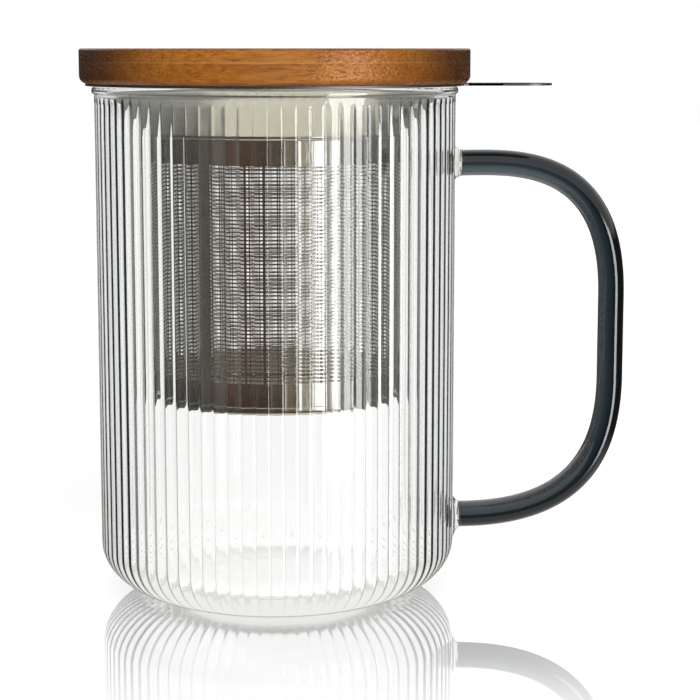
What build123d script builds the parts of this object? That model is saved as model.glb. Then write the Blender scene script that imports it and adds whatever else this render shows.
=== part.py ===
from build123d import *
from math import ceil, cos, pi, radians, sin, tan
import os

# Lidded glass tea mug with a lift-out steel infuser.
# Millimetres. The origin is the centre of the base, +Z is up and the handle points to +X.

round_flats = 84  # round pieces are drawn with that many flats

# ---- Glass body ----
mug_height = 121.2  # base to the top of the rim
mug_radius = 42.5  # over the crests of the reeds
glass_wall = 2.0
base_thickness = 3.0
corner_reach = 17.2  # how far the rounded lower corner reaches in from the wall
corner_height = 12.4
corner_bands = 4  # flat bands that the corner is drawn in, from the wall to the base
reed_count = 84
reed_flats = 3  # each convex reed is drawn in that many flats
reed_depth = 0.28  # from crest to groove
reed_fade = 3.4  # height over which the reeds run out, up into the rim's bead
rim_bead_height = 1.9
rim_bead_overhang = 0.6  # how far the fire-polished bead stands out of the wall
rim_round = 0.7

# ---- Handle, a bent rod of oval section ----
handle_reach = 37.6  # from the glass to the middle of the grip
handle_drop = 18.2  # rim's top to the upper arm's middle
handle_bottom = 17.8  # height of the lower arm's middle
rod_thickness = 6.1  # seen from the side
rod_width = 7.6  # seen from the front
upper_bend_drop = 31.2  # height that the upper bend takes up
upper_arm_pull = 11.5  # how far the arm runs on before it bends away
upper_grip_pull = 33.9  # how far the grip runs on into that bend
lower_bend_rise = 34.2
lower_arm_pull = 30.0
lower_grip_pull = 17.8
rod_sides = 24  # flats round the oval section
bend_steps = 8  # sections that each bend is drawn through

# ---- Weld pads between the glass and the rod ----
pad_length = 2.0  # from the crests to the rod's end
pad_neck = 0.75  # from the crests to the waist of the flare
pad_spread = 1.2  # how much wider than the rod the foot is, to each side
upper_pad_height = 8.7
lower_pad_height = 11.8
lower_pad_sag = 0.9  # how far its foot hangs below the arm's middle

# ---- Infuser ----
steel = 0.5  # sheet of the collar
flange_overhang = 2.0  # past the crests of the glass
flange_fold = 1.0  # radius of the fold into the funnel, at the sheet's middle
mouth_clearance = 1.1  # between the bore and the funnel's mouth
mouth_drop = 2.2  # upright part of the mouth, from the rim's top
funnel_depth = 11.7  # rim's top to the funnel's shoulder
throat_step = 1.2  # how far the shoulder stands out of the sleeve
spigot_length = 3.5  # the part of the collar that the sleeve is welded to
weld_gap = 0.05
tab_length = 20.7  # past the flange's edge
tab_width = 14.0
sleeve_radius = 28.7
sleeve_sheet = 0.3
infuser_depth = 73.9  # rim's top to the bottom of the basket
cap_sheet = 0.3
cap_height = 1.8
cap_round = 0.9
floor_rings = 3
floor_slot = 1.4
floor_pitch = 6.5  # between the rings, and between the slots of one

# ---- Lid ----
lid_overhang = 3.4  # past the crests of the glass
lid_thickness = 8.1
lid_top_round = 0.5
lid_lower_round = 1.8
plug_height = 3.5
plug_clearance = 1.9  # between the plug and the funnel's mouth
groove_depth = 1.5
groove_height = 1.6
groove_drop = 0.5  # from the lid's underside to the groove

# ---- Seal, a silicone ring in the plug's groove ----
seal_clearance = 0.2  # between the relaxed lip and the funnel's mouth
seal_fit = 0.04
seal_lip = 0.5  # thickness of the lip's edge

# ---- Worked out from the sizes above ----
bore_radius = mug_radius - glass_wall
handle_top = mug_height - handle_drop
grip_x = mug_radius + handle_reach
rod_start = mug_radius + pad_length
flange_radius = mug_radius + flange_overhang
flange_top = mug_height + steel
mouth_radius = bore_radius - mouth_clearance
mouth_inside = mouth_radius - steel
shoulder_z = mug_height - funnel_depth
shoulder_radius = sleeve_radius + throat_step
spigot_radius = sleeve_radius - sleeve_sheet - weld_gap
basket_bottom = mug_height - infuser_depth
lid_radius = mug_radius + lid_overhang
plug_radius = mouth_inside - plug_clearance
groove_radius = plug_radius - groove_depth
groove_top = flange_top - groove_drop
groove_low = groove_top - groove_height
level = 1e-6  # a smaller rise of an outline is none

os.makedirs("parts", exist_ok=True)


def write(name, solid):
    export_step(solid, f"parts/{name}.step")


def eased(before, corner, after, size):
    """A corner rounded by that radius: the ends of a few flats, more of them on a larger rounding."""
    corner, before, after = Vector(*corner), Vector(*before), Vector(*after)
    to_before, to_after = (before - corner).normalized(), (after - corner).normalized()
    half_angle = radians(to_before.get_angle(to_after)) / 2
    centre = corner + (to_before + to_after).normalized() * (size / sin(half_angle))
    start = corner + to_before * (size / tan(half_angle)) - centre
    axis = Axis((0, 0, 0), start.cross(corner + to_after * (size / tan(half_angle)) - centre))
    flats = ceil(size**0.5)
    turn = 180 - 2 * half_angle * 180 / pi
    return [centre + start.rotate(axis, turn * flat / flats) for flat in range(flats + 1)]


def profile(*corners):
    """The points of an outline. A corner is (radius, height), or (radius, height, rounding)."""
    points = []
    for i, corner in enumerate(corners):
        if len(corner) == 3:
            after = corners[(i + 1) % len(corners)]
            points += eased(corners[i - 1][:2], corner[:2], after[:2], corner[2])
        else:
            points.append(Vector(*corner))
    return points


def rising_runs(outline):
    """The stretches of a closed outline along which it rises, clear of the axis."""
    runs = [outline[:1]]
    for before, point in zip(outline, outline[1:] + outline[:1]):
        if point.Y - before.Y > level:
            runs[-1].append(point)
        else:
            runs.append([point])
    return [run for run in runs if len(run) > 1 and run[0].X > level]


def on_ring(radius, angle, z):
    return Vector(radius * cos(angle), radius * sin(angle), z)


def through(rings):
    """A solid through level rings of points, with a flat wherever two neighbours of two rings meet."""
    faces = [Face(Polyline(*ring, close=True)) for ring in (rings[0], rings[-1])]
    for low, high in zip(rings, rings[1:]):
        for i in range(len(low)):
            faces.append(Face(Polyline(low[i - 1], low[i], high[i], high[i - 1], close=True)))
    return Solid(Shell(faces))


def drum(run):
    """A solid round piece whose side goes through those (radius, height) points."""
    angles = [2 * pi * i / round_flats for i in range(round_flats)]
    return through([[on_ring(point.X, angle, point.Y) for angle in angles] for point in run])


def turned(*corners):
    """A round piece about Z, drawn with flats. Its outline goes up the outside and down the inside."""
    outline = profile(*corners)
    piece = Part() + [drum(run) for run in rising_runs(outline)]
    hollows = [drum(run) for run in rising_runs(outline[::-1])]
    return piece - hollows if hollows else piece


# ---- Glass body ----


def reeded_ring(radius, depth, z):
    """A level ring of convex reeds out to the radius, with a groove between each two."""
    around = reed_count * reed_flats
    ring = []
    for i in range(around):
        in_groove = i % reed_flats == 0
        ring.append(on_ring(radius - depth if in_groove else radius, 2 * pi * i / around, z))
    return ring


def corner_ring(turn, wall=0.0, floor=0.0):
    """Radius and height of the oval lower corner, from a quarter turn at the floor to none at the wall."""
    radius = mug_radius - corner_reach + (corner_reach - wall) * cos(turn)
    return radius, corner_height - (corner_height - floor) * sin(turn)


corner_turns = [pi / 2 * (1 - band / corner_bands) for band in range(corner_bands + 1)]


def mug_outside():
    """The reeded wall. The reeds narrow as they follow the corner inwards, and run out under the bead."""
    rings = []
    for turn in corner_turns:
        radius, z = corner_ring(turn)
        rings.append(reeded_ring(radius, reed_depth * radius / mug_radius, z))
    fade_end = mug_height - rim_bead_height / 2
    rings.append(reeded_ring(mug_radius, reed_depth, fade_end - reed_fade))
    plain_ring = reeded_ring(mug_radius, 0, fade_end)
    fade = loft([Face(Polyline(*ring, close=True)) for ring in (rings[-1], plain_ring)], ruled=True)
    return through(rings) + fade


def mug_inside():
    """The space inside. It widens at the rim and runs on above the mug, so that it cuts it open."""
    above = mug_height + rim_round
    return turned(
        (0, base_thickness),
        *[corner_ring(turn, glass_wall, base_thickness) for turn in corner_turns],
        (bore_radius, mug_height - rim_round),
        (bore_radius + 2 * rim_round, above),
        (0, above),
    )


def rim_bead():
    """The fire-polished bead, still a whole disc."""
    outer, low = mug_radius + rim_bead_overhang, mug_height - rim_bead_height
    return turned((0, low), (outer, low), (outer, mug_height, rim_round), (0, mug_height))


outside = mug_outside()
write("mug_body", outside + rim_bead() - mug_inside())


# ---- Handle and its weld pads ----


def oval(place, height, width):
    """An oval face across the rod, in that plane."""
    return place * scale(RegularPolygon(1, rod_sides), (width / 2, height / 2, 1))


def upright(x, z):
    """The plane across the X axis there, with its own X to the side."""
    return Plane(origin=(x, 0, z), x_dir=(0, 1, 0), z_dir=(1, 0, 0))


def rod():
    """The rod, drawn through sections across its two bends, with the straight grip between them."""
    bend_start = handle_top - upper_bend_drop
    bend_end = handle_bottom + lower_bend_rise
    upper = Bezier(
        (rod_start, 0, handle_top),
        (rod_start + upper_arm_pull, 0, handle_top),
        (grip_x, 0, bend_start + upper_grip_pull),
        (grip_x, 0, bend_start),
    )
    lower = Bezier(
        (grip_x, 0, bend_end),
        (grip_x, 0, bend_end - lower_grip_pull),
        (rod_start + lower_arm_pull, 0, handle_bottom),
        (rod_start, 0, handle_bottom),
    )
    sections = []
    for bend in (upper, lower):
        for step in range(bend_steps + 1):
            along = step / bend_steps
            across = Plane(origin=bend @ along, x_dir=(0, 1, 0), z_dir=bend % along)
            sections.append(oval(across, rod_thickness, rod_width))
    return loft(sections, ruled=True)


def weld_pad(arm_z, foot_height, sag=0.0):
    """A flared gather of glass. Its foot is cut to the reeds, so that both fuse over a whole face."""
    foot_width = rod_width + 2 * pad_spread
    waist_height = rod_thickness + (foot_height - rod_thickness) * 0.4
    waist_width = rod_width + pad_spread * 0.8
    pad = loft(
        [
            oval(upright(mug_radius - glass_wall / 2, arm_z - sag), foot_height, foot_width),
            oval(upright(mug_radius, arm_z - sag), foot_height, foot_width),
            oval(upright(mug_radius + pad_neck, arm_z - sag / 2), waist_height, waist_width),
            oval(upright(rod_start, arm_z), rod_thickness, rod_width),
        ],
        ruled=True,
    )
    return pad - outside


write("handle", rod())
write("upper_handle_pad", weld_pad(handle_top, upper_pad_height))
write("lower_handle_pad", weld_pad(handle_bottom, lower_pad_height, lower_pad_sag))


# ---- Infuser ----


def sheet_outline(middle):
    """A steel sheet's outline from its middle line, with mitred bends: up one side and back down the other."""
    runs = [(end - start).normalized() for start, end in zip(middle, middle[1:])]
    right, left = [], []
    for point, before, after in zip(middle, runs[:1] + runs, runs + runs[-1:]):
        along = (before + after).normalized()
        across = along.rotate(Axis.Z, -90) * (steel / 2 / along.dot(before))
        right.append(point + across)
        left.append(point - across)
    return [(point.X, point.Y) for point in right + left[::-1]]


def collar():
    """One sheet from the spigot over the shoulder, up the funnel and out to the flange's edge."""
    half = steel / 2
    middle = profile(
        (spigot_radius - half, shoulder_z - spigot_length),
        (spigot_radius - half, shoulder_z + half),
        (shoulder_radius - half, shoulder_z + half),
        (mouth_radius - half, mug_height - mouth_drop),
        (mouth_radius - half, mug_height + half, flange_fold),
        (flange_radius, mug_height + half),
    )
    return turned(*sheet_outline(middle))


def pull_tab():
    tip = flange_radius + tab_length - tab_width / 2
    plan = Rectangle(tip, tab_width, align=(Align.MIN, Align.CENTER))
    plan += Pos(tip, 0) * Circle(tab_width / 2)
    plan -= Circle(flange_radius - steel)
    return extrude(Pos(0, 0, mug_height) * plan, steel)


def sleeve():
    low, top = basket_bottom + cap_round, shoulder_z - weld_gap
    inner = sleeve_radius - sleeve_sheet
    return turned((inner, low), (sleeve_radius, low), (sleeve_radius, top), (inner, top))


def floor_slots():
    """The slots etched through the basket's floor, in rings about its middle one."""
    slot = Rectangle(floor_slot, floor_slot)
    slots = slot
    for ring in range(1, floor_rings + 1):
        slots += PolarLocations(ring * floor_pitch, round(2 * pi * ring)) * slot
    return extrude(Pos(0, 0, basket_bottom) * slots, cap_sheet)


def cap():
    """The pressed cup under the basket, crimped round the sleeve's lower edge."""
    inner = sleeve_radius + weld_gap
    outer = inner + cap_sheet
    floor = basket_bottom + cap_sheet
    top = basket_bottom + cap_height
    pressed = turned(
        (0, basket_bottom),
        (outer, basket_bottom, cap_round),
        (outer, top),
        (inner, top),
        (inner, floor, cap_round - cap_sheet),
        (0, floor),
    )
    return pressed - floor_slots()


write("infuser_collar", collar() + pull_tab())
write("infuser_sleeve", sleeve())
write("infuser_base", cap())


# ---- Lid and seal ----


def lid():
    top = flange_top + lid_thickness
    plug_bottom = flange_top - plug_height
    return turned(
        (0, plug_bottom),
        (plug_radius, plug_bottom),
        (plug_radius, groove_low),
        (groove_radius, groove_low),
        (groove_radius, groove_top),
        (plug_radius, groove_top),
        (plug_radius, flange_top),
        (lid_radius, flange_top, lid_lower_round),
        (lid_radius, top, lid_top_round),
        (0, top),
    )


def seal():
    """A wedge-shaped ring, as high as the groove at its root and thin at the lip, by the funnel's mouth."""
    inner = groove_radius + seal_fit
    low, top = groove_low + seal_fit, groove_top - seal_fit
    middle = (low + top) / 2
    lip = mouth_inside - seal_clearance
    return turned(
        (inner, low),
        (lip, middle - seal_lip / 2),
        (lip, middle + seal_lip / 2),
        (inner, top),
    )


write("lid", lid())
write("lid_seal", seal())
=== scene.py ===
import math

import bmesh
import bpy
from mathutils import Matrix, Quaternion, Vector


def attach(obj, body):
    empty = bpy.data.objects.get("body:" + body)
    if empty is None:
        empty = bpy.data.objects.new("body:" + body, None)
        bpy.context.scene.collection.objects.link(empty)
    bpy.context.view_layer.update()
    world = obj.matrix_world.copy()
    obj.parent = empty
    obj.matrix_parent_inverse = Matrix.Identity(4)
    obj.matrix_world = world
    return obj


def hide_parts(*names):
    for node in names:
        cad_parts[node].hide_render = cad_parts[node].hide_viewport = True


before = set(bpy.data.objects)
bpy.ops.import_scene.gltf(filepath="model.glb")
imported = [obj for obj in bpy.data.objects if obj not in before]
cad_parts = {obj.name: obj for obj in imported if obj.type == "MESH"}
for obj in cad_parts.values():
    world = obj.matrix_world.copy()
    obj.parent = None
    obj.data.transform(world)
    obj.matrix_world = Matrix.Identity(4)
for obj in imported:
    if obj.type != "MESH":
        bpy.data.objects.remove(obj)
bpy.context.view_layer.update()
mm = 0.001  # sizes in the dictionaries are in millimetres
print("frame loaded:", len(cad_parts), "solids")


# node trees


class Value:
    # wraps an output socket, so that node maths reads as plain expressions
    def __init__(self, graph, socket):
        self.graph = graph
        self.socket = socket

    def __add__(self, other):
        return self.graph.maths("ADD", self, other)

    def __sub__(self, other):
        return self.graph.maths("SUBTRACT", self, other)

    def __rsub__(self, other):
        return self.graph.maths("SUBTRACT", other, self)

    def __mul__(self, other):
        return self.graph.maths("MULTIPLY", self, other)

    def __truediv__(self, other):
        return self.graph.maths("DIVIDE", self, other)

    def __pow__(self, other):
        return self.graph.maths("POWER", self, other)

    def __gt__(self, other):
        return self.graph.maths("GREATER_THAN", self, other)

    def __lt__(self, other):
        return self.graph.maths("LESS_THAN", self, other)

    __radd__ = __add__
    __rmul__ = __mul__

    def eased(self, low, high):  # 0 at low, 1 at high, smooth between them
        settings = {"interpolation_type": "SMOOTHSTEP", "clamp": True}
        sockets = {"Value": self, "From Min": low, "From Max": high}
        return self.graph.node("ShaderNodeMapRange", settings, sockets)


def findSocket(sockets, key):
    if isinstance(key, int):
        return sockets[key]
    for socket in sockets:
        if socket.identifier == key:
            return socket
    return sockets[key]


class Graph:
    # the tree of a material, the world or a Geometry Nodes modifier
    def __init__(self, tree):
        self.tree = tree

    def node(self, kind, settings=None, sockets=None, output=0):
        made = self.tree.nodes.new(kind)
        for name, setting in (settings or {}).items():
            if name == "stops":
                ramp = made.color_ramp
                ramp.elements.remove(ramp.elements[1])
                ramp.elements[0].position, ramp.elements[0].color = setting[0]
                for place, colour in setting[1:]:
                    ramp.elements.new(place).color = colour
            else:
                setattr(made, name, setting)
        pairs = sockets.items() if isinstance(sockets, dict) else enumerate(sockets or [])
        for key, value in pairs:
            if isinstance(value, Value):
                self.tree.links.new(value.socket, findSocket(made.inputs, key))
            else:
                findSocket(made.inputs, key).default_value = value
        return Value(self, findSocket(made.outputs, output))

    def mix(self, factor, first, second):  # colours
        sockets = {"Factor_Float": factor, "A_Color": first, "B_Color": second}
        return self.node("ShaderNodeMix", {"data_type": "RGBA"}, sockets, "Result_Color")

    def split(self, vector):
        return [self.node("ShaderNodeSeparateXYZ", None, [vector], axis) for axis in (0, 1, 2)]

    def stretched(self, vector, scale, place=(0, 0, 0)):
        return self.node("ShaderNodeMapping", None, {"Vector": vector, "Scale": scale, "Location": place})

    def noise(self, vector, scale, detail=3, roughness=0.5, distortion=0):
        sockets = {"Vector": vector, "Scale": scale, "Detail": detail, "Roughness": roughness}
        return self.node("ShaderNodeTexNoise", None, {**sockets, "Distortion": distortion})

    def bump(self, height, strength, distance):
        sockets = {"Height": height, "Strength": strength, "Distance": distance}
        return self.node("ShaderNodeBump", None, sockets, "Normal")

    def facing(self, **sockets):  # 0 where the surface faces the viewer, 1 where it is seen edge on
        return self.node("ShaderNodeLayerWeight", None, {"Blend": 0.5, **sockets}, "Facing")

    def upright(self):  # the surface normal's share along Z
        return self.split(self.node("ShaderNodeNewGeometry", None, None, "Normal"))[2]

    def maths(self, operation, *values):
        return self.node("ShaderNodeMath", {"operation": operation}, values)

    def join(self, *shapes):
        made = self.tree.nodes.new("GeometryNodeJoinGeometry")
        for shape in shapes:
            self.tree.links.new(shape.socket, made.inputs[0])
        return Value(self, made.outputs[0])


def newMaterial(name):
    material = bpy.data.materials.new(name)
    material.use_nodes = True
    material.node_tree.nodes.clear()
    graph = Graph(material.node_tree)
    return material, graph, graph.node("ShaderNodeTexCoord", None, None, "Object")


def surface(graph, sockets, glow=None):
    shader = graph.node("ShaderNodeBsdfPrincipled", None, sockets)
    if glow:  # a painted glow: a pale emission is mixed in where a path has bounced between the walls long enough to be cut off
        caught = graph.node("ShaderNodeLightPath", None, None, "Glossy Depth") > 2.5
        pale = graph.node("ShaderNodeEmission", None, {"Color": glass["paintedGlow"], "Strength": 1.0})
        shader = graph.node("ShaderNodeMixShader", None, [caught * glow, shader, pale])
    end = graph.tree.nodes.new("ShaderNodeOutputMaterial")
    graph.tree.links.new(shader.socket, end.inputs["Surface"])


def newTree(name, inputs):
    tree = bpy.data.node_groups.new(name, "GeometryNodeTree")
    tree.interface.new_socket("Geometry", in_out="INPUT", socket_type="NodeSocketGeometry")
    for label, kind in inputs.items():
        tree.interface.new_socket(label, in_out="INPUT", socket_type="NodeSocket" + kind)
    tree.interface.new_socket("Geometry", in_out="OUTPUT", socket_type="NodeSocketGeometry")
    graph = Graph(tree)
    start = tree.nodes.new("NodeGroupInput")
    return graph, {socket.name: Value(graph, socket) for socket in start.outputs if socket.name}


def endTree(graph, shape, material):
    shape = graph.node("GeometryNodeRealizeInstances", None, {"Geometry": shape})
    shape = graph.node("GeometryNodeSetMaterial", None, {"Geometry": shape, "Material": material})
    end = graph.tree.nodes.new("NodeGroupOutput")
    graph.tree.links.new(shape.socket, end.inputs[0])


def plainMesh(holder):  # what the object's modifiers make of it
    ready = holder.evaluated_get(bpy.context.evaluated_depsgraph_get())
    made = bpy.data.meshes.new_from_object(ready)
    holder.modifiers.clear()
    return made


def runTree(graph, start, values):
    holder = newObject(graph.tree.name, start)
    modifier = holder.modifiers.new(graph.tree.name, "NODES")
    modifier.node_group = graph.tree
    for item in graph.tree.interface.items_tree:
        if item.in_out == "INPUT" and item.name in values:
            modifier[item.identifier] = values[item.name]
    made = plainMesh(holder)
    bpy.data.objects.remove(holder)
    return made


# meshes


def newObject(name, mesh):
    made = bpy.data.objects.new(name, mesh)
    bpy.context.scene.collection.objects.link(made)
    return made


def rounded(*corners, steps=6):  # a corner is (radius, height) or (radius, height, rounding)
    points = []
    for i, corner in enumerate(corners):
        here = Vector(corner[:2])
        if len(corner) == 2:
            points.append(here)
            continue
        toBefore = (Vector(corners[i - 1][:2]) - here).normalized()
        toAfter = (Vector(corners[(i + 1) % len(corners)][:2]) - here).normalized()
        half = toBefore.angle(toAfter) / 2
        centre = here + (toBefore + toAfter).normalized() * (corner[2] / math.sin(half))
        start = here + toBefore * (corner[2] / math.tan(half)) - centre
        turn = (math.pi - 2 * half) * (1 if toBefore.cross(toAfter) < 0 else -1)
        for step in range(steps + 1):
            angle = math.atan2(start.y, start.x) + turn * step / steps
            points.append(centre + corner[2] * Vector((math.cos(angle), math.sin(angle))))
    return points


def sheetOutline(middle, thickness):  # both sides of a bent sheet, from its middle line
    sides = [[], []]
    for i, point in enumerate(middle):
        ahead = (middle[min(i + 1, len(middle) - 1)] - point).normalized()
        behind = (point - middle[max(i - 1, 0)]).normalized()
        along = (ahead + behind).normalized()
        spread = thickness / 2 / max(0.5, max(along.dot(ahead), along.dot(behind)))
        across = Vector((-along.y, along.x)) * spread
        sides[0].append(point + across)
        sides[1].append(point - across)
    return sides[0] + sides[1][::-1]


def oblong(inner, outer, low, high):
    return [Vector(corner) for corner in ((outer, low), (outer, high), (inner, high), (inner, low))]


def evenly(count):
    return [2 * math.pi * i / count for i in range(count)]


def polar(radius, angle, z):
    return (radius * math.cos(angle) * mm, radius * math.sin(angle) * mm, z * mm)


def lathe(shape, outline, angles, radiusAt=None):
    # turns a closed outline about Z, or one that starts and ends on the axis
    rings = []
    for point in outline:
        if point.x < 1e-6:
            rings.append([shape.verts.new((0, 0, point.y * mm))])
            continue
        ring = []
        for angle in angles:
            radius = radiusAt(point, angle) if radiusAt else point.x
            ring.append(shape.verts.new(polar(radius, angle, point.y)))
        rings.append(ring)
    count = len(angles)
    for i, ring in enumerate(rings):
        following = rings[(i + 1) % len(rings)]
        for j in range(count):
            k = (j + 1) % count
            here = [ring[j % len(ring)], ring[k % len(ring)]]
            there = [following[k % len(following)], following[j % len(following)]]
            face = list(dict.fromkeys(here + there))
            if len(face) > 2:
                shape.faces.new(face)


def skin(shape, rings):  # a tube through the rings, closed at both ends
    for ring, following in zip(rings, rings[1:]):
        for j in range(len(ring)):
            k = (j + 1) % len(ring)
            shape.faces.new([ring[j], ring[k], following[k], following[j]])
    shape.faces.new(rings[0])
    shape.faces.new(rings[-1])


def smoothed(mesh, sharpAngle=35):
    shape = bmesh.new()
    shape.from_mesh(mesh)
    bmesh.ops.recalc_face_normals(shape, faces=shape.faces)
    for face in shape.faces:
        face.smooth = True
    for edge in shape.edges:
        edge.smooth = len(edge.link_faces) != 2 or edge.calc_face_angle(0) < math.radians(sharpAngle)
    shape.to_mesh(mesh)
    shape.free()
    return mesh


def meshFrom(name, shape):
    mesh = bpy.data.meshes.new(name)
    bmesh.ops.recalc_face_normals(shape, faces=shape.faces)
    shape.to_mesh(mesh)
    shape.free()
    return mesh


def addPiece(name, mesh, material, body, slotName, *nodes, sharpAngle=35):
    piece = newObject(name, smoothed(mesh, sharpAngle))
    mesh.materials.clear()
    mesh.materials.append(material)
    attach(piece, body)
    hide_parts(*nodes)
    print(name, len(mesh.polygons), "faces")
    return piece


def boolean(mesh, cutterMesh, operation):
    holder, cutter = newObject("work", mesh), newObject("cutter", cutterMesh)
    modifier = holder.modifiers.new("cut", "BOOLEAN")
    modifier.operation, modifier.solver, modifier.object = operation, "EXACT", cutter
    made = plainMesh(holder)
    for used in (holder, cutter):
        bpy.data.objects.remove(used)
    return made


# glass body

glass = {
    "height": 121.2,
    "radius": 42.5,
    "wall": 2.0,
    "base": 3.0,
    "cornerReach": 17.2,
    "cornerHeight": 12.4,
    "reeds": 84,
    "stepsPerReed": 12,
    "reedDepth": 0.28,
    "reedFullness": 4.0,  # the higher, the flatter the reeds and the narrower the grooves
    "reedTop": 117.6,  # where the grooves end
    "reedFade": 1.5,
    "reedEnd": 1.4,  # where they end in the lower corner
    "beadHeight": 1.9,
    "beadOut": 0.6,
    "beadIn": 0.2,
    "cornerSteps": 18,
    "innerCornerSteps": 14,
    "ior": 1.47,
    "tint": (0.99, 0.995, 0.988, 1),
    # painted shade: the glass is tinted darker where it is seen edge on
    "grazingShade": (0.93, 0.95, 0.93, 1),
    # painted shade: the dark lines in the grooves
    "grooveShade": (0.0002, 0.0003, 0.0008, 1),
    # the colour of the painted glow in the lower glass
    "paintedGlow": (0.84, 0.86, 0.82, 1),
    "glowBelow": 114.0,
    "glowWithin": 43.1,
}

handle = {  # its arms also say where the pads sit
    "top": 103.0,
    "bottom": 17.8,
    "gripX": 80.1,
    "upperDrop": 31.2,
    "upperArmPull": 11.5,
    "upperGripPull": 33.9,
    "lowerRise": 34.2,
    "lowerArmPull": 30.0,
    "lowerGripPull": 17.8,
    "height": 6.1,
    "width": 7.6,
    "sunk": 0.6,  # how far the rod runs into the pads
    "sides": 48,
    "steps": 48,
    "tones": [  # painted light: near black on the outside of the bend, paler and greyer towards the inside
        (0.15, (0.0005, 0.0008, 0.0012, 1)),
        (0.45, (0.006, 0.010, 0.013, 1)),
        (0.66, (0.050, 0.075, 0.088, 1)),
        (0.84, (0.170, 0.205, 0.215, 1)),
        (0.97, (0.46, 0.31, 0.24, 1)),
    ],
}

pads = {
    "rootX": 41.2,  # inside the wall
    "footX": 42.2,
    "endX": 44.5,  # where the rod starts
    "upper": {"z": handle["top"], "foot": 8.7, "sag": 0.0},
    "lower": {"z": handle["bottom"], "foot": 11.8, "sag": 0.9},
    "spread": 1.2,
    "flarePower": 2.2,  # the higher, the sooner the foot narrows
    "sides": 40,
    "steps": 9,
}


def reedDepthAt(z):
    top, fade = glass["reedTop"], glass["reedFade"]
    if z > top:
        return 0
    if z > top - fade:
        return glass["reedDepth"] * math.sqrt(1 - ((z - top + fade) / fade) ** 2)
    if z < glass["reedEnd"]:
        return 0
    if z < glass["cornerHeight"]:
        share = (z - glass["reedEnd"]) / (glass["cornerHeight"] - glass["reedEnd"])
        return glass["reedDepth"] * min(1, 0.55 + 0.6 * share)
    return glass["reedDepth"]


def glassProfile():
    # from the middle of the underside, up the outside, over the bead and down to the middle of the floor
    height, radius, bore = glass["height"], glass["radius"], glass["radius"] - glass["wall"]
    corner, innerCorner = glass["cornerSteps"], glass["innerCornerSteps"]
    points = [Vector((x, 0)) for x in (0, 8, 17)]
    for step in range(corner + 1):
        turn = math.radians(90) * (1 - step / corner)
        across = glass["cornerReach"] * (1 - math.cos(turn))
        points.append(Vector((radius - across, glass["cornerHeight"] * (1 - math.sin(turn)))))
    fadeLow = glass["reedTop"] - glass["reedFade"]
    points += [Vector((radius, z)) for z in (30, 50, 70, 90, 105, fadeLow - 2)]
    for degrees in range(0, 91, 15):
        points.append(Vector((radius, fadeLow + glass["reedFade"] * math.sin(math.radians(degrees)))))
    low = height - glass["beadHeight"]
    outer, inner = radius + glass["beadOut"], bore - glass["beadIn"]
    bead = rounded(
        (radius, low - 1),
        (radius, low, 0.35),
        (outer, low + 0.1, 0.5),
        (outer, height, 1.1),
        (inner, height, 0.9),
        (inner, low, 0.3),
        (bore, low - 0.6, 0.3),
        (bore, low - 3),
    )
    points += bead[1:-1]
    points += [Vector((bore, z)) for z in (100, 70, 40)]
    for step in range(innerCorner + 1):
        turn = math.radians(90) * step / innerCorner
        across = (glass["cornerReach"] - glass["wall"]) * (1 - math.cos(turn))
        up = (glass["cornerHeight"] - glass["base"]) * (1 - math.sin(turn))
        points.append(Vector((bore - across, glass["base"] + up)))
    points += [Vector((x, glass["base"])) for x in (16, 8, 0)]
    return points


def reededTree():
    inputs = {"Reeds": "Int", "Steps Per Reed": "Int", "Fullness": "Float", "Material": "Material"}
    graph, given = newTree("reededGlass", inputs)
    profile = given["Geometry"]
    rows = graph.node("GeometryNodeAttributeDomainSize", {"component": "MESH"}, [profile], "Point Count")
    perReed = given["Steps Per Reed"]
    around = given["Reeds"] * perReed
    size = {"Size X": 1, "Size Y": 1, "Vertices X": around + 1, "Vertices Y": rows}
    grid = graph.node("GeometryNodeMeshGrid", None, size)
    index = graph.node("GeometryNodeInputIndex")
    column = graph.maths("FLOOR", (index + 0.5) / rows)
    row = index - column * rows

    def alongProfile(kind, value):
        sockets = {"Geometry": profile, "Value": value, "Index": row}
        return graph.node("GeometryNodeSampleIndex", {"data_type": kind}, sockets)

    stored = graph.node("GeometryNodeInputNamedAttribute", {"data_type": "FLOAT"}, {"Name": "reedDepth"})
    depth = alongProfile("FLOAT", stored)
    place = graph.split(alongProfile("FLOAT_VECTOR", graph.node("GeometryNodeInputPosition")))
    share = graph.maths("FRACT", (column + 0.001) / perReed)
    dip = graph.maths("ABSOLUTE", share * 2 - 1) ** given["Fullness"]  # 1 in a groove, 0 on a crest
    radius = place[0] - depth * dip
    angle = column / around * (2 * math.pi)
    across, along = radius * graph.maths("COSINE", angle), radius * graph.maths("SINE", angle)
    target = graph.node("ShaderNodeCombineXYZ", None, [across, along, place[2]])
    shape = graph.node("GeometryNodeSetPosition", None, {"Geometry": grid, "Position": target})
    groove = {"Geometry": shape, "Name": "groove", "Value": dip * (depth > 0.0)}
    shape = graph.node("GeometryNodeStoreNamedAttribute", {"data_type": "FLOAT", "domain": "POINT"}, groove)
    shape = graph.node("GeometryNodeMergeByDistance", None, {"Geometry": shape, "Distance": 2e-6})
    endTree(graph, shape, given["Material"])
    return graph


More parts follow.
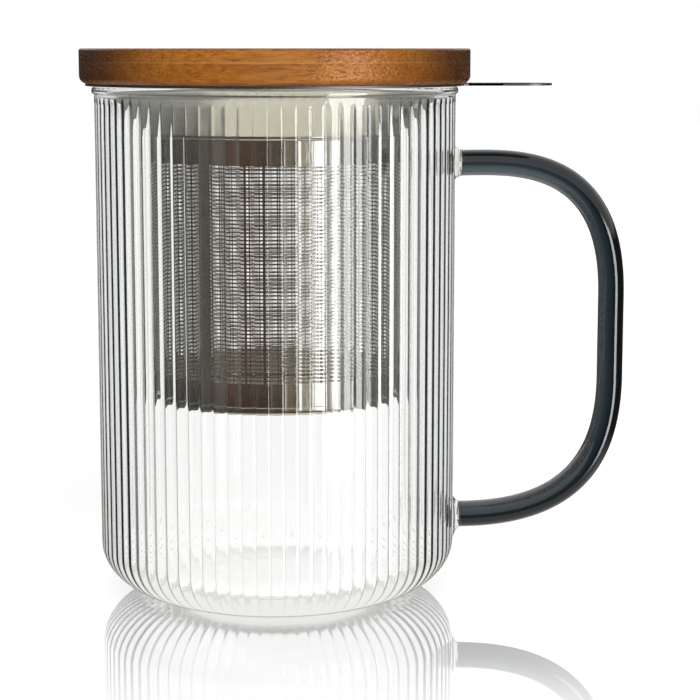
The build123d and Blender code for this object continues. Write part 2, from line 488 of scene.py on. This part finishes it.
def clearMaterial():
    material, graph, place = newMaterial("clearGlass")
    x, y, z = graph.split(place)
    # painted shade: the glass is tinted darker where it is seen edge on
    colour = graph.mix(graph.facing().eased(0.6, 1.0), glass["tint"], glass["grazingShade"])
    # painted shade: dark lines are painted into the mould's grooves, wider and darker where the wall is seen
    # at a slant
    outwards = graph.stretched(place, (1, 1, 0))
    outwards = graph.node("ShaderNodeVectorMath", {"operation": "NORMALIZE"}, [outwards])
    slant = graph.facing(Normal=outwards)
    groove = graph.node("ShaderNodeAttribute", {"attribute_name": "groove"}, None, "Fac")
    width = slant.eased(0.05, 0.5)
    line = groove.eased(0.7 - width * 0.7, 1.1 - width * 0.8)
    shade = slant.eased(-0.10, 0.17) * 0.76 + slant.eased(0.3, 0.48) * 0.24
    inside = graph.node("ShaderNodeNewGeometry", None, None, "Backfacing")
    colour = graph.mix(line * shade * (1 - inside * 0.7), colour, glass["grooveShade"])
    ripple = graph.noise(graph.stretched(place, (1, 1, 0.35)), 90, 1)
    sockets = {"Base Color": colour, "Normal": graph.bump(ripple, 0.02, 0.002), "IOR": glass["ior"]}
    # the painted glow is kept to the lower part of the glass, within the wall
    glow = (z < glass["glowBelow"] * mm) * ((x * x + y * y) < (glass["glowWithin"] * mm) ** 2)
    surface(graph, {**sockets, "Roughness": 0.0, "Transmission Weight": 1.0}, glow)
    return material


clearGlass = clearMaterial()


def padMesh(spec):
    shape = bmesh.new()
    rings = []
    footX, endX, steps = pads["footX"], pads["endX"], pads["steps"]
    places = [(pads["rootX"], 1)]
    for step in range(steps + 1):
        share = step / steps
        places.append((footX + (endX - footX) * share, (1 - share) ** pads["flarePower"]))
    for across, flare in places:
        halfWidth = handle["width"] / 2 + pads["spread"] * flare
        halfHeight = (handle["height"] + (spec["foot"] - handle["height"]) * flare) / 2
        middle = spec["z"] - spec["sag"] * flare
        ring = []
        for angle in evenly(pads["sides"]):
            side, up = halfWidth * math.cos(angle), middle + halfHeight * math.sin(angle)
            ring.append(shape.verts.new((across * mm, side * mm, up * mm)))
        rings.append(ring)
    skin(shape, rings)
    return meshFrom("pad", shape)


def glassBody():
    points = glassProfile()
    edges = [(i, i + 1) for i in range(len(points) - 1)]
    line = bpy.data.meshes.new("glassProfile")
    line.from_pydata([(point.x * mm, 0, point.y * mm) for point in points], edges, [])
    depths = line.attributes.new("reedDepth", "FLOAT", "POINT")
    onOutside = True
    for i, point in enumerate(points):  # the reeds are on the outside alone, up to the bead
        onOutside = onOutside and point.y < glass["height"] - glass["beadHeight"]
        scale = point.x / glass["radius"]
        depths.data[i].value = reedDepthAt(point.y) * scale * mm if onOutside else 0
    values = {
        "Reeds": glass["reeds"],
        "Steps Per Reed": glass["stepsPerReed"],
        "Fullness": glass["reedFullness"],
        "Material": clearGlass,
    }
    body = smoothed(runTree(reededTree(), line, values))
    for which in ("upper", "lower"):
        body = boolean(body, padMesh(pads[which]), "UNION")
    return body


glassNodes = ("mug_body", "upper_handle_pad", "lower_handle_pad")
addPiece("glassBody", glassBody(), clearGlass, "mug", "clear_glass", *glassNodes, sharpAngle=60)


# handle


def smokedMaterial():
    material, graph = newMaterial("smokedGlass")[:2]
    # painted light: the rod's colour is paler towards the inside of the bend
    inner = graph.node("ShaderNodeAttribute", {"attribute_name": "inner"}, None, "Fac")
    colour = graph.node("ShaderNodeValToRGB", {"stops": handle["tones"]}, [inner])
    sockets = {"Base Color": colour, "Roughness": 0.0, "Transmission Weight": 1.0, "IOR": glass["ior"]}
    surface(graph, sockets)
    return material


def bezier(a, b, c, d, share):
    rest = 1 - share
    return a * rest**3 + b * 3 * rest**2 * share + c * 3 * rest * share**2 + d * share**3


def handleMesh():
    start, sides = pads["endX"] - handle["sunk"], handle["sides"]
    gripX, top, bottom = handle["gripX"], handle["top"], handle["bottom"]
    gripTop, gripBottom = top - handle["upperDrop"], bottom + handle["lowerRise"]
    upper = [
        (start, top),
        (start + handle["upperArmPull"], top),
        (gripX, gripTop + handle["upperGripPull"]),
        (gripX, gripTop),
    ]
    lower = [
        (gripX, gripBottom),
        (gripX, gripBottom - handle["lowerGripPull"]),
        (start + handle["lowerArmPull"], bottom),
        (start, bottom),
    ]
    path = []
    for bend in (upper, lower):
        corners = [Vector(corner) for corner in bend]
        path += [bezier(*corners, step / handle["steps"]) for step in range(handle["steps"] + 1)]
    shape = bmesh.new()
    rings = []
    for i, point in enumerate(path):
        along = (path[min(i + 1, len(path) - 1)] - path[max(i - 1, 0)]).normalized()
        if i in (0, len(path) - 1):
            along = Vector((1 if i == 0 else -1, 0))
        across = Vector((-along.y, along.x))
        ring = []
        for angle in evenly(sides):
            side = handle["width"] / 2 * math.cos(angle)
            out = point + across * (handle["height"] / 2 * math.sin(angle))
            ring.append(shape.verts.new((out.x * mm, side * mm, out.y * mm)))
        rings.append(ring)
    skin(shape, rings)
    mesh = meshFrom("smokedHandle", shape)
    inner = mesh.attributes.new("inner", "FLOAT", "POINT")
    angles = evenly(sides)
    for i in range(len(mesh.vertices)):
        inner.data[i].value = 0.5 - math.sin(angles[i % sides]) / 2  # 1 on the inside of the bend
    return mesh


addPiece("smokedHandle", handleMesh(), smokedMaterial(), "mug", "smoked_glass", "handle")


# infuser

infuser = {
    "sheet": 0.5,
    "flangeRadius": 44.5,
    "flangeTop": 121.7,
    "fold": 0.85,
    "mouthRadius": 39.4,
    "mouthDrop": 120.2,
    "mouthRound": 0.8,
    "shoulderZ": 109.5,
    "shoulderRadius": 29.9,
    "lip": 0.8,
    "lipRound": 0.5,
    "bend": 0.45,
    "spigotRadius": 28.35,
    "spigotEnd": 106.0,
    "tabReach": 65.2,
    "tabWidth": 14.0,
    "around": 240,
    "rimBand": 1.0,  # how far in from the flange's edge the outline follows the tab
    # painted shade on the blanked edge of flange and tab
    "cutEdgeShade": (0.10, 0.10, 0.11, 1),
}

sleeve = {
    "radius": 28.7,
    "sheet": 0.3,
    "top": 109.4,
    "bottom": 48.2,
    "meshTop": 103.95,
    "meshBottom": 54.4,
    "rows": 57,
    "columns": 284,
    "wireHeight": 0.34,
    "wireDepth": 0.12,
    "barWidth": 0.18,
    "barDepth": 0.1,
    "seamAzimuth": -120.5,  # degrees from +X
    "seamWidth": 3.8,
    "seamProud": 0.03,
    "seamSteps": 4,  # on each side of its middle
    "around": 142,
    "matt": (0.86, 0.84, 0.80, 1),  # the inner side: rougher, and painted paler as light
    "mattRadius": 28.62,
}

cap = {
    "bottom": 47.3,
    "sheet": 0.3,
    "height": 1.8,
    "inner": 28.75,
    "round": 0.9,
    "brimRound": 0.13,
    "rings": 3,
    "pitch": 6.5,
    "slot": 1.4,
    "around": 200,
}


def steelMaterial(name, colour, darker, roughness, lines, mattRadius=0.0):
    material, graph, place = newMaterial(name)
    x, y, z = graph.split(place)
    brushed = graph.noise(graph.stretched(place, lines), 1, 4, 0.6)
    patch = graph.noise(place, 45, 2)
    matt = (x * x + y * y) < (mattRadius * mm) ** 2  # the sleeve's inner side, rougher and painted paler as light
    upright = graph.upright()
    onFlange = z > (infuser["flangeTop"] - infuser["sheet"] * 1.1) * mm
    cut = onFlange * ((upright * upright) < 0.1)  # the blanked edge of flange and tab, rougher and painted dark as shade
    colour = graph.mix(patch.eased(0.35, 0.75) * 0.5, colour, darker)
    # painted shade: the blanked edge is darkened
    colour = graph.mix(cut, colour, infuser["cutEdgeShade"])
    surface(
        graph,
        {
            # painted light: the inner side is paler
            "Base Color": graph.mix(matt, colour, sleeve["matt"]),
            "Metallic": 1.0,
            "Roughness": brushed.eased(0.3, 0.7) * 0.06 + patch * 0.05 + roughness + matt * 0.35 + cut * 0.3,
            "Normal": graph.bump(brushed, 0.05, 0.0003),
        },
    )
    return material


polishedSteel = steelMaterial(
    "polishedSteel", (0.70, 0.68, 0.64, 1), (0.60, 0.58, 0.54, 1), 0.10, (300, 300, 3000)
)
etchedSteel = steelMaterial(
    "etchedSteel", (0.66, 0.64, 0.60, 1), (0.55, 0.53, 0.50, 1), 0.12, (2500, 2500, 250), sleeve["mattRadius"]
)


def flangeReach(angle):  # how far the flange and its pull tab reach in that direction
    angle = (angle + math.pi) % (2 * math.pi) - math.pi
    half, reach, radius = infuser["tabWidth"] / 2, infuser["tabReach"], infuser["flangeRadius"]
    tipMiddle = reach - half
    if abs(angle) < math.asin(half / math.hypot(tipMiddle, half)):
        return tipMiddle * math.cos(angle) + math.sqrt(half**2 - (tipMiddle * math.sin(angle)) ** 2)
    if abs(angle) < math.asin(half / radius):
        return half / math.sin(abs(angle))
    return radius


def collarMesh():
    half = infuser["sheet"] / 2
    z = infuser["flangeTop"] - half
    mouth, shoulder = infuser["mouthRadius"] - half, infuser["shoulderRadius"] - half
    spigot, ledge = infuser["spigotRadius"] - half, infuser["shoulderZ"] + half
    bend = infuser["bend"]
    middle = rounded(
        (infuser["flangeRadius"], z),
        (infuser["flangeRadius"] - 2 * infuser["rimBand"], z),
        (mouth, z, infuser["fold"]),
        (mouth, infuser["mouthDrop"], infuser["mouthRound"]),
        (shoulder, ledge + infuser["lip"], infuser["lipRound"]),
        (shoulder, ledge, bend),
        (spigot, ledge, bend),
        (spigot, infuser["spigotEnd"]),
        steps=7,
    )
    overTab = [math.radians(0.25 * i) for i in range(-38, 39)]
    angles = sorted(set(evenly(infuser["around"]) + overTab))

    def radiusAt(point, angle):
        if point.x < infuser["flangeRadius"] - infuser["rimBand"]:
            return point.x
        return flangeReach(angle) + point.x - infuser["flangeRadius"]

    shape = bmesh.new()
    lathe(shape, sheetOutline(middle, infuser["sheet"]), angles, radiusAt)
    return meshFrom("steelCollar", shape)


addPiece("steelCollar", collarMesh(), polishedSteel, "infuser", "stainless_steel", "infuser_collar")


def latticeTree():
    graph, given = newTree(
        "wireLattice",
        {
            "Rows": "Int",
            "Columns": "Int",
            "Row Pitch": "Float",
            "Bottom": "Float",
            "Bar Size": "Vector",
            "Bar Radius": "Float",
            "Material": "Material",
        },
    )
    start = graph.node("ShaderNodeCombineXYZ", None, {"Z": given["Bottom"]})
    step = graph.node("ShaderNodeCombineXYZ", None, {"Z": given["Row Pitch"]})
    sockets = {"Count": given["Rows"], "Start Location": start, "Offset": step}
    line = graph.node("GeometryNodeMeshLine", {"mode": "OFFSET"}, sockets)
    hoops = graph.node("GeometryNodeInstanceOnPoints", None, {"Points": line, "Instance": given["Geometry"]})
    sockets = {"Vertices": given["Columns"], "Radius": given["Bar Radius"]}
    circle = graph.node("GeometryNodeMeshCircle", None, sockets)
    height = (given["Rows"] - 1) * given["Row Pitch"] / 2 + given["Bottom"]
    lift = graph.node("ShaderNodeCombineXYZ", None, {"Z": height})
    circle = graph.node("GeometryNodeSetPosition", None, {"Geometry": circle, "Offset": lift})
    angle = graph.node("GeometryNodeInputIndex") / given["Columns"] * (2 * math.pi)
    turn = graph.node("ShaderNodeCombineXYZ", None, {"Z": angle})
    turn = graph.node("FunctionNodeEulerToRotation", None, [turn])
    bar = graph.node("GeometryNodeMeshCube", None, {"Size": given["Bar Size"]})
    sockets = {"Points": circle, "Instance": bar, "Rotation": turn}
    bars = graph.node("GeometryNodeInstanceOnPoints", None, sockets)
    endTree(graph, graph.join(hoops, bars), given["Material"])
    return graph


def sleeveMesh():
    outer, inner = sleeve["radius"], sleeve["radius"] - sleeve["sheet"]
    low, high = sleeve["meshBottom"], sleeve["meshTop"]
    half, depth = sleeve["wireHeight"] / 2, sleeve["wireDepth"]
    hoop = bmesh.new()
    lathe(hoop, oblong(outer - depth, outer, -half, half), evenly(sleeve["around"]))
    values = {
        "Rows": sleeve["rows"],
        "Columns": sleeve["columns"],
        "Row Pitch": (high - low) / (sleeve["rows"] - 1) * mm,
        "Bottom": low * mm,
        "Bar Size": (sleeve["barDepth"] * mm, sleeve["barWidth"] * mm, (high - low) * mm),
        "Bar Radius": (outer - depth / 2) * mm,
        "Material": etchedSteel,
    }
    lattice = runTree(latticeTree(), meshFrom("hoop", hoop), values)
    shape = bmesh.new()
    shape.from_mesh(lattice)
    for ends in ((sleeve["bottom"], low), (high, sleeve["top"])):  # the plain bands
        lathe(shape, oblong(inner, outer, *ends), evenly(sleeve["columns"]))
    seam, steps, proud = math.radians(sleeve["seamAzimuth"]), sleeve["seamSteps"], sleeve["seamProud"]
    spread = sleeve["seamWidth"] / 2 / outer
    rings = []
    for step in range(-steps, steps + 1):
        angle = seam + spread * step / steps
        corners = oblong(inner - proud, outer + proud, low, high)
        rings.append([shape.verts.new(polar(corner.x, angle, corner.y)) for corner in corners])
    skin(shape, rings)
    return meshFrom("meshSleeve", shape)


addPiece("meshSleeve", sleeveMesh(), etchedSteel, "infuser", "etched_steel", "infuser_sleeve")


def capMesh():
    bottom, sheet, brim = cap["bottom"], cap["sheet"], cap["brimRound"]
    outer, top = cap["inner"] + sheet, cap["bottom"] + cap["height"]
    outline = rounded(
        (0, bottom),
        (outer, bottom, cap["round"]),
        (outer, top, brim),
        (cap["inner"], top, brim),
        (cap["inner"], bottom + sheet, cap["round"] - sheet),
        (0, bottom + sheet),
    )
    shape = bmesh.new()
    lathe(shape, outline, evenly(cap["around"]))
    cutters = bmesh.new()
    places = [(0, 0)]
    for ring in range(1, cap["rings"] + 1):
        places += [(ring * cap["pitch"], angle) for angle in evenly(round(2 * math.pi * ring))]
    for radius, angle in places:
        for vert in bmesh.ops.create_cube(cutters, size=cap["slot"] * mm)["verts"]:
            vert.co.rotate(Quaternion((0, 0, 1), angle))
            vert.co += Vector(polar(radius, angle, bottom + sheet / 2))
    return boolean(meshFrom("basketCap", shape), meshFrom("slots", cutters), "DIFFERENCE")


addPiece("basketCap", capMesh(), polishedSteel, "infuser", "stainless_steel", "infuser_base")


# lid

lid = {
    "radius": 45.9,
    "thickness": 8.1,
    "low": 121.7,
    "glueLine": 126.7,
    "topRound": 0.6,
    "lowerRound": 1.8,
    "plugRadius": 37.0,
    "plugHeight": 3.5,
    "plugRound": 0.8,
    "grooveRadius": 35.5,
    "grooveTop": 121.2,
    "grooveLow": 119.6,
    "around": 256,
    "glueWidth": 0.24,
    "glue": (0.72, 0.42, 0.19, 1),
    "pore": (0.16, 0.048, 0.010, 1),
    "paintedSideShade": (0.03, 0.007, 0.003, 1),  # painted shade, darker where the side turns away from the viewer
    "tones": [
        (0.30, (0.17, 0.046, 0.006, 1)),
        (0.48, (0.34, 0.110, 0.013, 1)),
        (0.64, (0.46, 0.165, 0.022, 1)),
        (0.80, (0.58, 0.240, 0.045, 1)),
    ],
}


def woodMaterial():
    material, graph, place = newMaterial("oiledWood")
    aboveGlue = graph.split(place)[2] - lid["glueLine"] * mm
    # the upper layer is cut from another place of the plank
    upper = aboveGlue > 0.0
    along = graph.node("ShaderNodeCombineXYZ", None, {"X": upper * 0.7, "Y": upper * 0.31})
    plank = graph.node("ShaderNodeVectorMath", {"operation": "ADD"}, [place, along])
    broad = graph.noise(graph.stretched(plank, (7, 90, 120)), 1, 4, 0.55, 0.4)
    fine = graph.noise(graph.stretched(plank, (110, 1400, 1400)), 1, 3, 0.6)
    flecks = graph.noise(graph.stretched(plank, (210, 1900, 2100)), 1, 2, 0.5).eased(0.55, 0.67)
    colour = graph.node("ShaderNodeValToRGB", {"stops": lid["tones"]}, [broad * 0.60 + fine * 0.52])
    colour = graph.mix(flecks * 0.6, colour, lid["pore"])
    glue = graph.maths("ABSOLUTE", aboveGlue) < lid["glueWidth"] / 2 * mm
    colour = graph.mix(glue * 0.3, colour, lid["glue"])
    upright = graph.upright()
    # painted shade: the side, not the top, darkens where it is seen edge on
    sideShade = graph.facing().eased(0.05, 0.6) * (1 - upright * upright)
    colour = graph.mix(sideShade * 0.75, colour, lid["paintedSideShade"])
    grain = graph.noise(place, 1500, 2)
    height = fine * 0.6 - flecks * 0.8 + broad * 0.3 + grain * 1.3
    surface(
        graph,
        {
            "Base Color": colour,
            "Roughness": 0.20 + fine * 0.14 + flecks * 0.15,
            "Specular IOR Level": 0.22,
            "Coat Weight": 0.03,
            "Coat Roughness": 0.2,
            "Normal": graph.bump(height, 0.3, 0.0004),
        },
    )
    return material


def lidMesh():
    low, top = lid["low"], lid["low"] + lid["thickness"]
    plugLow = low - lid["plugHeight"]
    outline = rounded(
        (0, plugLow),
        (lid["plugRadius"], plugLow, lid["plugRound"]),
        (lid["plugRadius"], lid["grooveLow"]),
        (lid["grooveRadius"], lid["grooveLow"]),
        (lid["grooveRadius"], lid["grooveTop"]),
        (lid["plugRadius"], lid["grooveTop"]),
        (lid["plugRadius"], low),
        (lid["radius"], low, lid["lowerRound"]),
        (lid["radius"], top, lid["topRound"]),
        (0, top),
        steps=8,
    )
    shape = bmesh.new()
    lathe(shape, outline, evenly(lid["around"]))
    return meshFrom("woodLid", shape)


addPiece("woodLid", lidMesh(), woodMaterial(), "lid", "wood", "lid")

seal = {
    "inner": 35.54,
    "root": 37.0,
    "tip": 38.7,
    "low": 119.64,
    "high": 121.16,
    "lip": 0.5,
    "round": 0.15,
    "around": 200,
    "darker": (0.80, 0.80, 0.77, 1),
    "paler": (0.87, 0.87, 0.85, 1),
}


def siliconeMaterial():
    material, graph, place = newMaterial("siliconeRubber")
    cloud = graph.noise(place, 120, 2)
    surface(
        graph,
        {
            "Base Color": graph.mix(cloud.eased(0.3, 0.7), seal["darker"], seal["paler"]),
            "Roughness": 0.42 + cloud * 0.1,
            "Subsurface Weight": 0.15,
            "Subsurface Radius": (0.002, 0.002, 0.002),
            "Subsurface Scale": 1.0,
        },
    )
    return material


def sealMesh():
    middle, corner = (seal["low"] + seal["high"]) / 2, seal["round"]
    outline = rounded(
        (seal["inner"], seal["low"], corner),
        (seal["root"], seal["low"]),
        (seal["tip"], middle - seal["lip"] / 2, corner),
        (seal["tip"], middle + seal["lip"] / 2, corner),
        (seal["root"], seal["high"]),
        (seal["inner"], seal["high"], corner),
        steps=4,
    )
    shape = bmesh.new()
    lathe(shape, outline, evenly(seal["around"]))
    return meshFrom("sealRing", shape)


addPiece("sealRing", sealMesh(), siliconeMaterial(), "lid", "silicone", "lid_seal")


# studio

studio = {
    "floorSize": 6.0,  # metres
    "floorGrey": 0.82,
    "floorGlow": 0.52,
    "reflectionNear": 0.040,
    "reflectionFar": 0.125,
    "reflection": 0.55,
    "inSteel": 2.2,  # the softbox as the steel in the glass shows it
    "inGlass": 2.5,  # as the walls of the glass throw it about
    "onGlass": 11.0,  # as the outer surfaces show it
    "white": 1.08,  # a little over 1, for what the glass takes away
}


def grey(level, warm=0.0):
    return (level * (1 + warm), level, level * (1 - warm), 1)


def makeFloor():
    material, graph, place = newMaterial("studioFloor")
    x, y = graph.split(place)[:2]
    # how far from the line between the mug's middle and its grip
    grip = handle["gripX"] * mm
    offX = x - graph.node("ShaderNodeClamp", None, {"Value": x, "Min": 0.0, "Max": grip})
    far = (offX * offX + y * y) ** 0.5
    share = (1 - far.eased(studio["reflectionNear"], studio["reflectionFar"])) * studio["reflection"]
    matt = graph.node("ShaderNodeBsdfDiffuse", None, {"Color": grey(studio["floorGrey"])})
    glow = graph.node("ShaderNodeEmission", None, {"Color": grey(1.0), "Strength": studio["floorGlow"]})
    pale = graph.node("ShaderNodeAddShader", None, [matt, glow])
    gloss = graph.node("ShaderNodeBsdfGlossy", None, {"Color": (1, 1, 1, 1), "Roughness": 0.0})
    whole = graph.node("ShaderNodeMixShader", None, [share, pale, gloss])
    end = graph.tree.nodes.new("ShaderNodeOutputMaterial")
    graph.tree.links.new(whole.socket, end.inputs["Surface"])
    mesh = bpy.data.meshes.new("floor")
    half = studio["floorSize"] / 2
    corners = [(-half, -half, 0), (half, -half, 0), (half, half, 0), (-half, half, 0)]
    mesh.from_pydata(corners, [], [(0, 1, 2, 3)])
    mesh.materials.append(material)
    floor = newObject("floor", mesh)
    floor.visible_glossy = False
    floor.visible_diffuse = False
    floor.visible_transmission = False


makeFloor()


def makeWorld():
    world = bpy.data.worlds.new("studio")
    bpy.context.scene.world = world
    world.use_nodes = True
    world.node_tree.nodes.clear()
    graph = Graph(world.node_tree)
    x, y, z = graph.split(graph.node("ShaderNodeTexCoord", None, None, "Generated"))
    # round the object: 0.5 towards the camera, more towards +X, 0 and 1 behind
    around = graph.maths("ARCTAN2", x, y * -1) / (2 * math.pi) + 0.5
    offCamera = graph.maths("ABSOLUTE", around - 0.5)
    down = z * -1

    def byAzimuth(*pairs):  # 0 degrees is towards the camera, 90 towards +X
        stops = [((degrees + 180) / 360, colour) for degrees, colour in pairs]
        return graph.node("ShaderNodeValToRGB", {"stops": stops}, [around])

    def between(low, high, soft):
        rise = around.eased(0.5 + (low - soft) / 360, 0.5 + low / 360)
        return rise * (1 - around.eased(0.5 + high / 360, 0.5 + (high + soft) / 360))

    names = ("Is Camera Ray", "Diffuse Depth", "Glossy Depth", "Transmission Depth")
    light = {name: graph.node("ShaderNodeLightPath", None, None, name) for name in names}
    # what the steel in the glass mirrors, from its dark side over brown to its pale side
    steel = byAzimuth(
        (-180, grey(0.03)),
        (-120, grey(0.03, 0.05)),
        (-78, grey(0.045, 0.08)),
        (-66, grey(0.10, 0.10)),
        (-40, grey(0.16, 0.14)),
        (-36, (0.075, 0.026, 0.012, 1)),
        (-14, (0.065, 0.025, 0.012, 1)),
        (-8, (0.045, 0.035, 0.025, 1)),
        (2, (0.070, 0.055, 0.038, 1)),
        (14, (0.150, 0.110, 0.070, 1)),
        (20, (0.36, 0.33, 0.25, 1)),
        (33, (0.46, 0.43, 0.34, 1)),
        (36, grey(0.30)),
        (60, grey(0.34)),
        (76, grey(0.30)),
        (84, grey(0.07)),
        (130, grey(0.06)),
        (180, grey(0.05)),
    )
    white, cream = grey(studio["white"]), grey(0.86, 0.03)
    softbox, band = between(36, 52, 1.5), between(36, 59, 1.5)

    def lit(colour, lamp, downward, below, upward, above):
        colour = graph.node("ShaderNodeVectorMath", {"operation": "ADD"}, [colour, lamp])
        colour = graph.mix(downward, colour, below)
        return graph.mix(upward, colour, above)

    # under the funnel: pale in the middle and further over to +X
    steep = (down - (around < 0.5) * 0.15).eased(0.73, 0.79)
    funnel = graph.mix(steep, (0.06, 0.058, 0.046, 1), (1.0, 0.97, 0.80, 1))
    away = offCamera.eased(0.34, 0.4)
    aside = offCamera.eased(0.08, 0.14) * (1 - away)
    upward = z.eased(0.2, 0.45) * (1 - aside * 0.9) + z.eased(0.0, 0.12) * away
    steel = lit(steel, softbox * studio["inSteel"], down.eased(0.17, 0.34), funnel, upward, grey(0.97))
    inGlass = graph.mix((offCamera - (around < 0.5) * 0.06).eased(0.11, 0.22), grey(0.06), white)
    inGlass = lit(inGlass, band * studio["inGlass"], down.eased(0.18, 0.3), cream, z.eased(0.0, 0.12), white)
    onGlass = band * studio["onGlass"]
    onGlass = lit(grey(0.05)[:3], onGlass, down.eased(0.35, 0.6), cream, z.eased(0.12, 0.2), white)
    # what shows straight through the glass: dark to the left and right of the camera's side
    openness = offCamera.eased(0.20, 0.30) + (1 - offCamera.eased(0.12, 0.16))
    behind = graph.mix(openness, grey(0.1), white)
    # what falls on the matt surfaces
    softly = byAzimuth(
        (-180, grey(0.55)),
        (-140, grey(0.22)),
        (-100, grey(0.02)),
        (-45, grey(0.02)),
        (-26, grey(0.2)),
        (-8, grey(2.1)),
        (24, grey(2.5)),
        (40, grey(0.6)),
        (66, grey(0.06)),
        (92, grey(0.10)),
        (140, grey(0.45)),
        (180, grey(0.7)),
    )
    softly = graph.mix(z.eased(0.7, 0.98), softly, grey(0.95))
    # a path that left the steel has crossed the wall twice, there and back
    glossy = graph.mix(light["Transmission Depth"] > 0.5, onGlass, inGlass)
    glossy = graph.mix(light["Transmission Depth"] > 3.5, glossy, steel)
    colour = graph.mix(light["Glossy Depth"] > 0.5, behind, glossy)
    colour = graph.mix(light["Diffuse Depth"] > 0.5, colour, softly)
    colour = graph.mix(light["Is Camera Ray"], colour, grey(1.0))
    shader = graph.node("ShaderNodeBackground", None, {"Color": colour, "Strength": 1.0})
    end = graph.tree.nodes.new("ShaderNodeOutputWorld")
    graph.tree.links.new(shader.socket, end.inputs["Surface"])


makeWorld()

shot = {"place": (0.0176, -0.478, 0.12984), "pitch": 0.1491, "lens": 103.35}

lens = bpy.data.cameras.new("camera")
lens.lens, lens.sensor_width = shot["lens"], 36
lens.clip_start, lens.clip_end = 0.01, 50
camera = newObject("camera", lens)
camera.location = shot["place"]
camera.rotation_euler = (math.pi / 2 - shot["pitch"], 0, 0)
bpy.context.scene.camera = camera
bpy.context.scene.view_settings.view_transform = "Standard"
print("studio ready")
